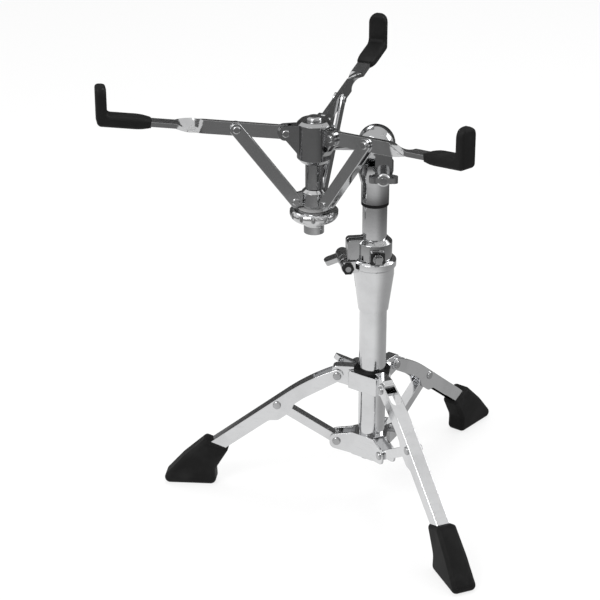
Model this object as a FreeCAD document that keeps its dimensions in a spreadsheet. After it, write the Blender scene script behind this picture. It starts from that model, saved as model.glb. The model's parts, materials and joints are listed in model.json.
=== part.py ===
import FreeCAD
import Part
import Sketcher
import math
import os
from types import SimpleNamespace

# Snare drum stand. Frame: the origin is on the floor under the base tube, +Z up, +X to the right of
# the stand's front and +Y to its back. Lengths are millimetres and angles degrees.

driving_sizes = {
    # base tube and riser
    "base_tube_dia": 28.6,
    "base_tube_wall": 1.2,
    "tube_below_pivot": 14.3,
    "base_tube_length": 215.0,
    "riser_dia": 25.4,
    "riser_wall": 1.4,
    "riser_inside": 155.0,
    "riser_guide_length": 22.0,
    "riser_guide_flange": 10.0,
    "plug_depth": 12.0,
    "plug_flange": 3.0,
    # clearances shared by the pieces that turn or slide on each other
    "running_play": 0.05,
    "guide_play": 0.1,
    "rest_gap": 0.3,
    "overrun": 60.0,
    # tripod linkage
    "leg_azimuth": 55.4,
    "pivot_radius": 36.5,
    "lower_pivot_height": 62.3,
    "link_length": 75.0,
    "spread_angle": 31.0,
    "fold_slack": 5.1,
    # collars
    "collar_wall": 3.0,
    "lower_collar_height": 26.0,
    "upper_collar_height": 20.0,
    "upper_collar_drop": 13.0,
    "ear_round": 7.5,
    "ear_sheet": 2.4,
    "ear_gap": 0.3,
    "bush_wall": 1.3,
    "bush_flange": 2.6,
    "boss_dia": 16.0,
    "boss_reach": 26.0,
    "boss_height": 9.0,
    # struts and legs, pressed from sheet
    "strut_width": 11.0,
    "strut_half_depth": 5.0,
    "strut_sheet": 1.5,
    "leg_sheet": 1.6,
    "leg_side_gap": 0.2,
    "leg_nose": 7.0,
    "leg_nose_rise": 6.2,
    "leg_nose_round": 6.4,
    "leg_crown_at": 30.0,
    "leg_crown": 11.3,
    "leg_belly_at": 46.0,
    "leg_belly": 6.0,
    "leg_bend_round": 220.0,
    "leg_lobe_half": 17.0,
    "leg_lobe_drop": 5.5,
    "leg_lobe_round": 7.0,
    "leg_toe_at": 172.0,
    "leg_toe_drop": 6.4,
    "leg_toe_depth": 14.4,
    "leg_fork_length": 26.0,
    "leg_window_gap": 0.6,
    "rivet_dia": 5.0,
    "rivet_head_dia": 9.0,
    "rivet_head_rise": 1.8,
    # rubber feet
    "foot_width": 27.0,
    "foot_mouth_width": 19.4,
    "foot_toe_round": 11.0,
    "foot_round": 6.0,
    "foot_side_round": 5.0,
    "foot_mouth_round": 4.0,
    "foot_instep_round": 60.0,
    "foot_ankle_round": 13.0,
    "heel_setback": 15.9,
    "sole_length": 63.5,
    "instep_reach": 37.0,
    "foot_instep_rise": 31.0,
    "mouth_top_reach": 12.0,
    "mouth_top_lift": 3.5,
    "mouth_low_setback": 15.0,
    "mouth_low_drop": 6.0,
    "ankle_reach": 1.0,
    "foot_ankle_rise": 18.0,
    # height clamp
    "clamp_turn": 10.0,
    "clamp_grip": 45.0,
    "clamp_cone_wall": 1.4,
    "clamp_shoulder_drop": 5.0,
    "clamp_shoulder_dia": 42.0,
    "clamp_ridge_dia": 46.0,
    "clamp_ridge_height": 8.0,
    "clamp_rise": 13.0,
    "clamp_bush_dia": 33.0,
    "clamp_slit": 3.0,
    "clamp_slit_depth": 19.0,
    "clamp_ear_reach": 29.0,
    "clamp_ear_round": 6.4,
    "clamp_ear_width": 20.0,
    "clamp_bolt_dia": 6.0,
    "clamp_nut_across": 11.0,
    "clamp_nut_height": 5.0,
    # wing bolts and the wing nut
    "wing_hub_dia": 14.0,
    "wing_lobe_height": 12.0,
    "wing_reach": 20.0,
    "wing_sheet": 5.6,
    "wing_round": 4.0,
    "clamp_wing_neck": 8.0,
    "clamp_wing_angle": 27.0,
    "collar_wing_neck": 3.0,
    "collar_wing_reach": 28.0,
    "collar_wing_angle": 118.0,
    "tilter_wing_neck": 2.0,
    "tilter_wing_reach": 14.5,
    # memory lock
    "lock_height": 22.0,
    "lock_dia": 37.0,
    "lock_bevel": 4.0,
    "lock_lug_reach": 29.0,
    "lock_lug_width": 15.0,
    "lock_lug_round": 4.0,
    "lock_slit": 2.4,
    "lock_boss_reach": 22.5,
    "lock_boss_width": 15.0,
    "lock_boss_height": 13.0,
    "key_bolt_dia": 6.0,
    "key_head": 7.0,
    "key_head_length": 6.0,
    "key_collar_dia": 10.5,
    "key_collar": 1.6,
    # ball tilter
    "ball_above_tube": 137.0,
    "sleeve_wall": 1.6,
    "sleeve_length": 19.0,
    "cup_dia": 36.4,
    "cup_flare": 14.0,
    "cup_height": 10.0,
    "cup_drop": 19.0,
    "ball_dia": 29.0,
    "shell_dia": 39.0,
    "shell_split": 1.2,
    "stem_dia": 15.0,
    "stem_slot_width": 16.6,
    "stem_slot_drop": 12.5,
    "stem_slot_end": 2.0,
    "tilter_bolt_drop": 26.0,
    "tilter_bolt_aside": 8.0,
    "tilter_bolt_dia": 6.0,
    "tilter_bolt_head_dia": 12.0,
    "tilter_bolt_head": 4.0,
    "jaw_lug_width": 17.0,
    "jaw_lug_drop": 9.0,
    "jaw_lug_sheet": 4.4,
    # basket hub and spindle
    "hub_offset": 62.0,
    "arm_azimuth": 72.9,
    "hub_below_ball": 20.0,
    "hub_dia": 35.0,
    "hub_foot_dia": 27.0,
    "hub_bevel": 4.5,
    "hub_above_ball": 24.0,
    "hub_crown_bevel": 3.0,
    "stem_socket_depth": 12.0,
    "set_screw_dia": 6.0,
    "set_screw_recess": 1.0,
    "cap_nut_dia": 16.0,
    "cap_nut_rise": 4.0,
    "spindle_dia": 18.0,
    "spindle_inset": 1.0,
    "spindle_seat": 12.0,
    # arms, braces and grips
    "arm_pivot_radius": 30.0,
    "arm_pivot_drop": 11.0,
    "arm_rise": 8.0,
    "arm_thickness": 5.0,
    "arm_width": 14.0,
    "arm_gap": 0.3,
    "hub_ear_sheet": 3.0,
    "hub_ear_round": 7.4,
    "hub_ear_skirt": 16.0,
    "arm_twist_at": 83.0,
    "arm_twist_length": 28.0,
    "arm_bend_at": 184.0,
    "arm_finger": 33.0,
    "arm_bend_round": 2.0,
    "arm_pin_dia": 5.0,
    "arm_pin_head_dia": 8.0,
    "arm_pin_head_rise": 1.5,
    "brace_on_arm": 50.0,
    "brace_slack": 2.6,
    "brace_slack_play": 0.45,
    "brace_low_radius": 19.5,
    "brace_drop": 74.0,
    "brace_sheet": 2.5,
    "brace_half_width": 6.4,
    "brace_web": 2.2,
    "brace_web_low": 17.0,
    "brace_web_high": 27.0,
    "grip_length": 54.0,
    "grip_width": 20.0,
    "grip_thickness": 12.0,
    "grip_finger_thickness": 10.5,
    "grip_height": 42.0,
    "grip_round": 4.0,
    "grip_tip_round": 5.0,
    # slider and adjusting knob
    "slider_below_pins": 7.5,
    "slider_above_pins": 12.0,
    "slider_dia": 25.0,
    "slider_bevel": 3.0,
    "slider_lug_round": 6.2,
    "washer_dia": 34.0,
    "washer_thickness": 1.5,
    "knob_rim_dia": 50.0,
    "knob_rim": 5.0,
    "knob_top_bevel": 3.0,
    "knob_bowl_drop": 17.5,
    "knob_tail_dia": 21.0,
    "knob_tail_drop": 11.0,
    "knob_bowl_round": 16.0,
    "knob_flute_dia": 9.0,
    "knob_flute_depth": 0.9,
}
leg_count = 3
twist_steps = 6
knob_flutes = 12
dome_share = 0.8
round_share = 0.96
slim_ear_share = 0.8
legs = ("right", "left", "front")
arms = ("back", "left", "right")

doc = FreeCAD.newDocument("snare_drum_stand")
sheet = doc.addObject("Spreadsheet::Sheet", "Sheet")
for row, (name, value) in enumerate(driving_sizes.items(), start=1):
    sheet.set("A%d" % row, name)
    sheet.set("B%d" % row, str(value))
    sheet.setAlias("B%d" % row, name)
doc.recompute()


class Size:
    """A size worked out from the sheet: its value now, and the expression that keeps it bound."""

    def __init__(self, value, text):
        self.value = value
        self.text = text

    def __add__(self, other):
        other = as_size(other)
        return Size(self.value + other.value, "(%s + %s)" % (self.text, other.text))

    def __sub__(self, other):
        other = as_size(other)
        return Size(self.value - other.value, "(%s - %s)" % (self.text, other.text))

    def __rsub__(self, other):
        return as_size(other) - self

    def __mul__(self, other):
        other = as_size(other)
        return Size(self.value * other.value, "(%s * %s)" % (self.text, other.text))

    def __truediv__(self, other):
        other = as_size(other)
        return Size(self.value / other.value, "(%s / %s)" % (self.text, other.text))

    def __neg__(self):
        return Size(-self.value, "(-%s)" % self.text)

    __radd__ = __add__
    __rmul__ = __mul__


def as_size(number):
    return number if isinstance(number, Size) else Size(float(number), repr(number))


def sine(angle):
    return Size(math.sin(math.radians(angle.value)), "sin(%s * 1 deg)" % angle.text)


def cosine(angle):
    return Size(math.cos(math.radians(angle.value)), "cos(%s * 1 deg)" % angle.text)


def root(size):
    return Size(math.sqrt(size.value), "sqrt(%s)" % size.text)


s = SimpleNamespace(**{name: Size(sheet.get(name), "Sheet." + name) for name in driving_sizes})
nodes = []


# Sketch and feature helpers


def pin_down(sketch, geometry, point, x, y):
    """Bind one point of a sketch to the sheet."""
    for kind, axis, size in (("DistanceX", -2, as_size(x)), ("DistanceY", -1, as_size(y))):
        if size.text == "0":
            sketch.addConstraint(Sketcher.Constraint("PointOnObject", geometry, point, axis))
            continue
        index = sketch.addConstraint(Sketcher.Constraint(kind, -1, 1, geometry, point, size.value))
        sketch.setExpression("Constraints[%d]" % index, size.text)


def bind_radius(sketch, geometry, radius):
    index = sketch.addConstraint(Sketcher.Constraint("Radius", geometry, radius.value))
    sketch.setExpression("Constraints[%d]" % index, radius.text)


def corner_arc(before, corner, after, radius):
    """The tangent arc that rounds a corner, and whether the outline runs along it clockwise."""
    back = (before - corner).normalize()
    ahead = (after - corner).normalize()
    half = back.getAngle(ahead) / 2
    reach = radius / math.tan(half)
    centre = corner + (back + ahead).normalize() * (radius / math.sin(half))
    first = corner + back * reach - centre
    last = corner + ahead * reach - centre
    clockwise = first.cross(last).z < 0
    if clockwise:
        first, last = last, first
    start = math.atan2(first.y, first.x)
    sweep = first.getAngle(last)
    circle = Part.Circle(centre, FreeCAD.Vector(0, 0, 1), radius)
    return Part.ArcOfCircle(circle, start, start + sweep), clockwise


def draw_outline(sketch, corners):
    """A closed outline through corners (x, y) and rounded corners (x, y, radius)."""
    spots = [FreeCAD.Vector(as_size(c[0]).value, as_size(c[1]).value, 0) for c in corners]
    count = len(spots)
    arcs = {}
    for i, corner in enumerate(corners):
        if len(corner) == 3:
            arcs[i] = corner_arc(spots[i - 1], spots[i], spots[(i + 1) % count], corner[2].value)

    def leaving(i):
        if i not in arcs:
            return spots[i]
        arc, clockwise = arcs[i]
        return arc.StartPoint if clockwise else arc.EndPoint

    def reaching(i):
        if i not in arcs:
            return spots[i]
        arc, clockwise = arcs[i]
        return arc.EndPoint if clockwise else arc.StartPoint

    lines = []
    for i in range(count):
        lines.append(sketch.addGeometry(Part.LineSegment(leaving(i), reaching((i + 1) % count))))
    for i, corner in enumerate(corners):
        before = lines[i - 1]
        after = lines[i]
        if i not in arcs:
            sketch.addConstraint(Sketcher.Constraint("Coincident", before, 2, after, 1))
            pin_down(sketch, after, 1, corner[0], corner[1])
            continue
        arc, clockwise = arcs[i]
        bend = sketch.addGeometry(arc)
        mark = sketch.addGeometry(Part.Point(spots[i]), True)
        pin_down(sketch, mark, 1, corner[0], corner[1])
        sketch.addConstraint(Sketcher.Constraint("PointOnObject", mark, 1, before))
        sketch.addConstraint(Sketcher.Constraint("PointOnObject", mark, 1, after))
        sketch.addConstraint(Sketcher.Constraint("Tangent", before, 2, bend, 2 if clockwise else 1))
        sketch.addConstraint(Sketcher.Constraint("Tangent", after, 1, bend, 1 if clockwise else 2))
        bind_radius(sketch, bend, corner[2])


def draw_circle(sketch, x, y, radius):
    centre = FreeCAD.Vector(as_size(x).value, as_size(y).value, 0)
    ring = sketch.addGeometry(Part.Circle(centre, FreeCAD.Vector(0, 0, 1), radius.value))
    pin_down(sketch, ring, 3, x, y)
    bind_radius(sketch, ring, radius)


def new_body(label):
    body = doc.addObject("PartDesign::Body", label)
    body.Label = label
    return body


def origin_feature(body, role):
    return next(feature for feature in body.Origin.OriginFeatures if feature.Role == role)


def new_sketch(body, plane, lift=None):
    sketch = body.newObject("Sketcher::SketchObject", body.Name + "_sketch")
    sketch.AttachmentSupport = (origin_feature(body, plane), [""])
    sketch.MapMode = "FlatFace"
    if lift is not None:
        sketch.AttachmentOffset = FreeCAD.Placement(FreeCAD.Vector(0, 0, lift.value), FreeCAD.Rotation())
        sketch.setExpression("AttachmentOffset.Base.z", lift.text)
    return sketch


def outline(body, plane, corners, lift=None):
    sketch = new_sketch(body, plane, lift)
    draw_outline(sketch, corners)
    return sketch


def circle(body, plane, x, y, radius, lift=None):
    sketch = new_sketch(body, plane, lift)
    draw_circle(sketch, x, y, radius)
    return sketch


def box_corners(low_x, low_y, high_x, high_y):
    return [(low_x, low_y), (high_x, low_y), (high_x, high_y), (low_x, high_y)]


def extrude(body, kind, sketch, length, both_ways=False):
    feature = body.newObject("PartDesign::" + kind, body.Name + "_" + kind.lower())
    feature.Profile = sketch
    feature.setExpression("Length", length.text)
    if both_ways:
        feature.SideType = "Symmetric"
    body.Tip = feature
    return feature


def pad(body, sketch, length, both_ways=False):
    return extrude(body, "Pad", sketch, length, both_ways)


def pocket(body, sketch, width):
    """A cut of the given width, half on each side of the sketch."""
    return extrude(body, "Pocket", sketch, width, True)


def turn(body, kind, sketch):
    feature = body.newObject("PartDesign::" + kind, body.Name + "_" + kind.lower())
    feature.Profile = sketch
    feature.ReferenceAxis = (sketch, ["V_Axis"])
    feature.Angle = 360
    body.Tip = feature
    return feature


def repeat_round(body, features, count):
    doc.recompute()
    pattern = body.newObject("PartDesign::PolarPattern", body.Name + "_round")
    pattern.Originals = features
    pattern.Axis = (origin_feature(body, "Z_Axis"), [""])
    pattern.Angle = 360
    pattern.Occurrences = count
    body.Tip = pattern
    return pattern


def soften_sides(body, radius, width):
    """Round the edges of the two flat sides that a pad of the given width leaves."""
    doc.recompute()
    base = body.Tip
    picked = []
    for number, edge in enumerate(base.Shape.Edges, start=1):
        box = edge.BoundBox
        if box.YLength < width.value / 2 and abs(box.Center.y) > width.value / 4:
            picked.append("Edge%d" % number)
    fillet = body.newObject("PartDesign::Fillet", body.Name + "_fillet")
    fillet.Base = (base, picked)
    fillet.setExpression("Radius", radius.text)
    body.Tip = fillet


def revolved(label, corners):
    body = new_body(label)
    turn(body, "Revolution", outline(body, "XZ_Plane", corners))
    return body


def place(thing, x=0, y=0, z=0, rotation=FreeCAD.Rotation()):
    spot = FreeCAD.Vector(as_size(x).value, as_size(y).value, as_size(z).value)
    thing.Placement = FreeCAD.Placement(spot, rotation)
    for axis, size in (("x", x), ("y", y), ("z", z)):
        if isinstance(size, Size):
            thing.setExpression("Placement.Base." + axis, size.text)
    return thing


def about(axis, degrees):
    return FreeCAD.Rotation(FreeCAD.Vector(*axis), degrees)


along_z = (0, 0, 1)
along_y = (0, 1, 0)
along_x = (1, 0, 0)


def keep(thing):
    """Hand the object in as a sub-part under its own label."""
    nodes.append(thing)
    return thing


def cut(label, base, tool):
    result = doc.addObject("Part::Cut", label)
    result.Label = label
    result.Base = base
    result.Tool = tool
    return result


def joined(label, kind, pieces):
    """Part::MultiFuse, Part::MultiCommon or, for separate solids of one node, Part::Compound."""
    result = doc.addObject("Part::" + kind, label)
    result.Label = label
    if kind == "Compound":
        result.Links = pieces
    else:
        result.Shapes = pieces
    return result


def block(low, high):
    """A plain box between two corners."""
    result = doc.addObject("Part::Box", "block")
    for side, first, last in zip(("Length", "Width", "Height"), low, high):
        result.setExpression(side, (as_size(last) - first).text)
    return place(result, *low)


def rod(radius, length):
    result = doc.addObject("Part::Cylinder", "rod")
    result.setExpression("Radius", radius.text)
    result.setExpression("Height", length.text)
    return result


def ball(radius):
    result = doc.addObject("Part::Sphere", "ball")
    result.setExpression("Radius", radius.text)
    return result


# Pieces that repeat


def rivet(label, shank_dia, grip, head_dia, head_rise):
    """A rivet along its own Z, centred on its grip, with a domed head at each end."""
    half = grip / 2
    shank = shank_dia / 2
    head = head_dia / 2
    return revolved(label, [
        (0, -half - head_rise), (head, -half - head_rise, head_rise * dome_share), (head, -half),
        (shank, -half), (shank, half), (head, half), (head, half + head_rise, head_rise * dome_share),
        (0, half + head_rise)])


def wing_bolt(label, neck, reach, shank_dia, shank_length):
    """A wing along its own Z: shank below, hub and two lobes above. The seat is at z = 0."""
    hub = s.wing_hub_dia / 2
    top = neck + s.wing_lobe_height
    body = revolved(label, [
        (0, -shank_length), (shank_dia / 2, -shank_length), (shank_dia / 2, 0), (hub, 0),
        (hub, top, s.wing_round / 2), (0, top)])
    waist = neck + s.wing_lobe_height / 3
    for side in (1, -1):
        lobe = outline(body, "XZ_Plane", [
            (0, neck), (side * hub, neck), (side * reach, waist, s.wing_round),
            (side * reach, top + s.wing_round, s.wing_round), (side * hub, top), (0, top)])
        pad(body, lobe, s.wing_sheet, True)
    return body


def hexagon(across):
    """Corners of a hexagon of the given width across its flats."""
    reach = across / math.sqrt(3)
    half = reach / 2
    flat = across / 2
    return [(reach, 0), (half, flat), (-half, flat), (-reach, 0), (-half, -flat), (half, -flat)]


# Heights above the floor, each taken from the piece that carries the next


base_tube_bottom = s.lower_pivot_height - s.tube_below_pivot
base_top = base_tube_bottom + s.base_tube_length
riser_bottom = base_top - s.riser_inside
clamp_bottom = base_top - s.clamp_grip
clamp_slit_bottom = base_top - s.clamp_slit_depth
clamp_shoulder = base_top - s.clamp_shoulder_drop
clamp_top = base_top + s.clamp_rise
ball_height = base_top + s.ball_above_tube
cup_top = ball_height - s.cup_drop
cup_bottom = cup_top - s.cup_height
sleeve_top = cup_bottom - s.cup_flare
sleeve_bottom = sleeve_top - s.sleeve_length
tilter_bolt_height = ball_height - s.tilter_bolt_drop
hub_bottom = ball_height - s.hub_below_ball
hub_top = ball_height + s.hub_above_ball
arm_pivot_height = hub_top - s.arm_pivot_drop
brace_low_height = arm_pivot_height - s.brace_drop
slider_bottom = brace_low_height - s.slider_below_pins
slider_top = brace_low_height + s.slider_above_pins
knob_bowl_bottom = slider_bottom - s.knob_bowl_drop
knob_bottom = knob_bowl_bottom - s.knob_tail_drop
spindle_bottom = knob_bottom + s.spindle_inset


# Base: tube, lower collar, height clamp


base_radius = s.base_tube_dia / 2
base_bore = base_radius - s.base_tube_wall
riser_radius = s.riser_dia / 2
strut_gap = s.strut_width + 2 * s.ear_gap
lower_ear_width = strut_gap + 2 * s.ear_sheet
upper_pivot_height = s.lower_pivot_height + 2 * s.link_length * sine(s.spread_angle)
rivet_hole = s.rivet_dia / 2 + s.running_play


def make_base_tube():
    keep(revolved("base_tube", [
        (base_bore, base_tube_bottom), (base_radius, base_tube_bottom),
        (base_radius, base_top), (base_bore, base_top)]))
    keep(revolved("tube_end_plug", [
        (0, base_tube_bottom - s.plug_flange),
        (base_radius, base_tube_bottom - s.plug_flange, s.plug_flange / 2),
        (base_radius, base_tube_bottom), (base_bore, base_tube_bottom),
        (base_bore, base_tube_bottom + s.plug_depth), (0, base_tube_bottom + s.plug_depth)]))


def collar_corners(facet, ear_width, first_turn):
    """A pressed collar from above: a flat facet between each two ears, and the ears' roots."""
    half = ear_width / 2
    root_at = (facet - half * math.sin(math.pi / leg_count)) / math.cos(math.pi / leg_count)
    corners = []
    for turn_number in range(leg_count):
        turned = math.radians(first_turn + turn_number * 360 / leg_count)
        for side in (-half, half):
            corners.append((root_at * math.cos(turned) - side * math.sin(turned),
                            root_at * math.sin(turned) + side * math.cos(turned)))
    return corners


def make_lower_collar():
    body = new_body("lower_collar")
    ring = base_radius + s.collar_wall
    low = base_tube_bottom
    high = low + s.lower_collar_height
    pad(body, outline(body, "XY_Plane", collar_corners(ring, lower_ear_width, 0), low), s.lower_collar_height)
    tip = s.pivot_radius + s.ear_round
    ear = pad(body, outline(body, "XZ_Plane", [
        (0, low), (ring, low), (tip, s.lower_pivot_height - s.ear_round, s.ear_round * round_share),
        (tip, s.lower_pivot_height + s.ear_round, s.ear_round * round_share), (ring, high), (0, high)]),
        lower_ear_width, True)
    slot = pocket(body, outline(body, "XZ_Plane", box_corners(
        ring, low - s.overrun, tip + s.overrun, high + s.overrun)), strut_gap)
    hole = pocket(body, circle(body, "XZ_Plane", s.pivot_radius, s.lower_pivot_height, rivet_hole), s.overrun)
    repeat_round(body, [ear, slot, hole], leg_count)
    pocket(body, circle(body, "XY_Plane", 0, 0, base_radius, low + s.lower_collar_height / 2),
           s.lower_collar_height + s.overrun)
    keep(place(body, rotation=about(along_z, s.leg_azimuth.value)))
    pins = []
    for turn_number in range(leg_count):
        pin = rivet("lower_rivet", s.rivet_dia, lower_ear_width, s.rivet_head_dia, s.rivet_head_rise)
        azimuth = s.leg_azimuth + turn_number * 360 / leg_count
        pins.append(place(pin, s.pivot_radius * cosine(azimuth), s.pivot_radius * sine(azimuth),
                          s.lower_pivot_height,
                          about(along_z, azimuth.value).multiply(about(along_x, 90))))
    keep(joined("lower_collar_rivets", "Compound", pins))


def make_height_clamp():
    body = new_body("height_clamp_body")
    cone = base_radius + s.clamp_cone_wall
    shoulder = s.clamp_shoulder_dia / 2
    ridge = s.clamp_ridge_dia / 2
    ridge_low = clamp_top - s.clamp_ridge_height
    turn(body, "Revolution", outline(body, "XZ_Plane", [
        (0, clamp_bottom), (cone, clamp_bottom), (shoulder, clamp_shoulder),
        (shoulder, ridge_low - (ridge - shoulder)), (ridge, ridge_low),
        (ridge, clamp_top - (ridge - shoulder)), (shoulder, clamp_top), (0, clamp_top)]))
    ear_tip = s.clamp_ear_reach + s.clamp_ear_round
    ear_top = clamp_top - s.rest_gap
    ear_low = ear_top - 2 * s.clamp_ear_round
    bolt_height = ear_top - s.clamp_ear_round
    round_end = s.clamp_ear_round * round_share
    pad(body, outline(body, "XZ_Plane", [
        (0, ear_low), (0, ear_top), (-ear_tip, ear_top, round_end), (-ear_tip, ear_low, round_end)]),
        s.clamp_ear_width, True)
    bush = s.clamp_bush_dia / 2
    turn(body, "Groove", outline(body, "XZ_Plane", [
        (0, clamp_bottom - s.overrun), (base_radius, clamp_bottom - s.overrun), (base_radius, base_top),
        (bush, base_top), (bush, clamp_top + s.overrun), (0, clamp_top + s.overrun)]))
    pocket(body, outline(body, "XZ_Plane", box_corners(
        -ear_tip - s.overrun, clamp_slit_bottom, 0, clamp_top + s.overrun)), s.clamp_slit)
    hole = s.clamp_bolt_dia / 2 + s.running_play
    pocket(body, circle(body, "XZ_Plane", -s.clamp_ear_reach, bolt_height, hole), s.overrun)
    body.Label = "height_clamp"
    swing = about(along_z, s.clamp_turn.value)
    keep(place(body, rotation=swing))
    keep(revolved("clamp_bush", [
        (riser_radius + s.running_play, base_top), (bush, base_top), (bush, clamp_top),
        (riser_radius + s.running_play, clamp_top)]))
    half_ears = s.clamp_ear_width / 2
    spread = s.clamp_ear_width + s.clamp_nut_height
    bolt = wing_bolt("clamp_wing_bolt", s.clamp_wing_neck, s.wing_reach, s.clamp_bolt_dia, spread)
    seat = half_ears + s.rest_gap
    droop = about(along_z, -s.clamp_wing_angle.value)
    keep(place_turned(bolt, -s.clamp_ear_reach, seat, bolt_height, s.clamp_turn,
                      about(along_x, -90).multiply(droop)))
    nut = new_body("clamp_nut")
    pad(nut, outline(nut, "XY_Plane", hexagon(s.clamp_nut_across)), s.clamp_nut_height)
    pocket(nut, circle(nut, "XY_Plane", 0, 0, hole), s.overrun)
    keep(place_turned(nut, -s.clamp_ear_reach, -half_ears, bolt_height, s.clamp_turn, about(along_x, 90)))


def place_turned(thing, x, y, z, azimuth, tilt):
    """Place a piece that lies at (x, y, z) before the whole is turned about the tube's axis."""
    spot_x = x * cosine(azimuth) - y * sine(azimuth)
    spot_y = x * sine(azimuth) + y * cosine(azimuth)
    return place(thing, spot_x, spot_y, z, about(along_z, azimuth.value).multiply(tilt))


# Sliding collar


def make_upper_collar():
    body = new_body("upper_collar")
    bush = base_radius + s.running_play + s.bush_wall
    ring = bush + s.collar_wall
    low = upper_pivot_height - s.upper_collar_drop
    high = low + s.upper_collar_height
    pad(body, outline(body, "XY_Plane", collar_corners(ring, leg_width, 180), low), s.upper_collar_height)
    tip = s.pivot_radius + s.ear_round * slim_ear_share
    ear_top = upper_pivot_height + s.fold_slack + s.ear_round * slim_ear_share
    ear_low = upper_pivot_height - s.ear_round * slim_ear_share
    ear_end = s.ear_round * slim_ear_share * round_share
    ear = pad(body, outline(body, "XZ_Plane", [
        (0, low), (-ring, low), (-tip, ear_low, ear_end), (-tip, ear_top, ear_end), (-ring, ear_top),
        (-ring, high), (0, high)]), s.strut_width, True)
    slot_in = s.pivot_radius - rivet_hole
    slot_out = s.pivot_radius + rivet_hole
    slot_low = upper_pivot_height - rivet_hole
    slot_top = upper_pivot_height + s.fold_slack + rivet_hole
    slot_end = rivet_hole * round_share
    hole = pocket(body, outline(body, "XZ_Plane", [
        (-slot_out, slot_low, slot_end), (-slot_in, slot_low, slot_end), (-slot_in, slot_top, slot_end),
        (-slot_out, slot_top, slot_end)]), s.overrun)
    repeat_round(body, [ear, hole], leg_count)
    boss_height = low + s.boss_height
    pad(body, circle(body, "YZ_Plane", 0, boss_height, s.boss_dia / 2), s.boss_reach)
    thread = s.clamp_bolt_dia / 2 + s.running_play
    pocket(body, circle(body, "YZ_Plane", 0, boss_height, thread, s.boss_reach), 2 * s.boss_reach)
    pocket(body, circle(body, "XY_Plane", 0, 0, bush, low + s.upper_collar_height / 2),
           s.upper_collar_height + s.overrun)
    wing_azimuth = s.leg_azimuth + 180 / leg_count
    keep(place(body, rotation=about(along_z, wing_azimuth.value)))
    keep(revolved("collar_bush", [
        (base_radius + s.running_play, low), (bush, low), (bush, high), (ring, high),
        (ring, high + s.bush_flange), (base_radius + s.running_play, high + s.bush_flange)]))
    seat = s.boss_reach + s.rest_gap
    bolt = wing_bolt("collar_wing_bolt", s.collar_wing_neck, s.collar_wing_reach, s.clamp_bolt_dia,
                     seat - bush - s.rest_gap)
    keep(place_turned(bolt, seat, as_size(0), boss_height, wing_azimuth,
                      about(along_y, 90).multiply(about(along_z, s.collar_wing_angle.value))))


# Legs, struts and feet


leg_inside = s.strut_width + 2 * s.leg_side_gap
leg_width = leg_inside + 2 * s.leg_sheet


def leg_corners():
    """The leg from the side: its own X runs from the upper pin to the middle rivet, where it has a lobe."""
    toe_low = -s.leg_toe_drop - s.leg_toe_depth
    fall_share = (s.leg_belly + toe_low) / (s.leg_toe_at - s.leg_belly_at)
    lobe = []
    for reach, drop in ((-s.leg_lobe_half, 0), (-s.leg_lobe_half / 2, s.leg_lobe_drop),
                        (s.leg_lobe_half / 2, s.leg_lobe_drop), (s.leg_lobe_half, 0)):
        along = s.link_length + reach
        lobe.append((along, fall_share * (along - s.leg_belly_at) - s.leg_belly - drop, s.leg_lobe_round))
    return [
        (-s.leg_nose, -s.leg_belly, s.leg_nose_round), (s.leg_belly_at, -s.leg_belly)] + lobe + [
        (s.leg_toe_at, toe_low), (s.leg_toe_at, -s.leg_toe_drop),
        (s.leg_crown_at, s.leg_crown, s.leg_bend_round), (-s.leg_nose, s.leg_nose_rise, s.leg_nose_round)]


def leg_rotation(azimuth):
    return about(along_z, azimuth.value).multiply(about(along_y, s.spread_angle.value))


def place_leg(thing, azimuth):
    return place(thing, s.pivot_radius * cosine(azimuth), s.pivot_radius * sine(azimuth), upper_pivot_height,
                 leg_rotation(azimuth))


def make_leg(name, azimuth):
    body = new_body("leg_" + name)
    pad(body, outline(body, "XZ_Plane", leg_corners()), leg_width, True)
    past_nose = -s.leg_nose - s.overrun
    past_toe = s.leg_toe_at + s.overrun
    toe_inside = -s.leg_toe_drop - s.leg_sheet
    crown_inside = s.leg_crown - s.leg_sheet
    climb_share = (s.leg_crown - s.leg_nose_rise) / (s.leg_crown_at + s.leg_nose)
    pocket(body, outline(body, "XZ_Plane", [
        (past_nose, -s.leg_belly - s.overrun), (past_toe, -s.leg_belly - s.overrun), (past_toe, toe_inside),
        (s.leg_toe_at, toe_inside), (s.leg_crown_at, crown_inside, s.leg_bend_round),
        (past_nose, crown_inside - climb_share * (s.leg_crown_at - past_nose))]), leg_inside)
    fork_end = leg_inside / 2
    pocket(body, outline(body, "XY_Plane", [
        (past_nose, -fork_end), (s.leg_fork_length, -fork_end, fork_end * round_share),
        (s.leg_fork_length, fork_end, fork_end * round_share), (past_nose, fork_end)]), 2 * s.overrun)
    window = s.strut_half_depth + s.leg_window_gap
    pocket(body, circle(body, "XZ_Plane", s.link_length, 0, window), leg_inside)
    pocket(body, circle(body, "XZ_Plane", s.link_length, 0, rivet_hole), s.overrun)
    pocket(body, circle(body, "XZ_Plane", 0, 0, rivet_hole), s.overrun)
    keep(place_leg(body, azimuth))

    pins = []
    for label, reach in (("upper_pin", as_size(0)), ("middle_rivet", s.link_length)):
        pin = rivet(label, s.rivet_dia, leg_width, s.rivet_head_dia, s.rivet_head_rise)
        radius = s.pivot_radius + reach * cosine(s.spread_angle)
        pins.append(place(pin, radius * cosine(azimuth), radius * sine(azimuth),
                          upper_pivot_height - reach * sine(s.spread_angle),
                          about(along_z, azimuth.value).multiply(about(along_x, 90))))
    keep(joined("leg_rivets_" + name, "Compound", pins))


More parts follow.
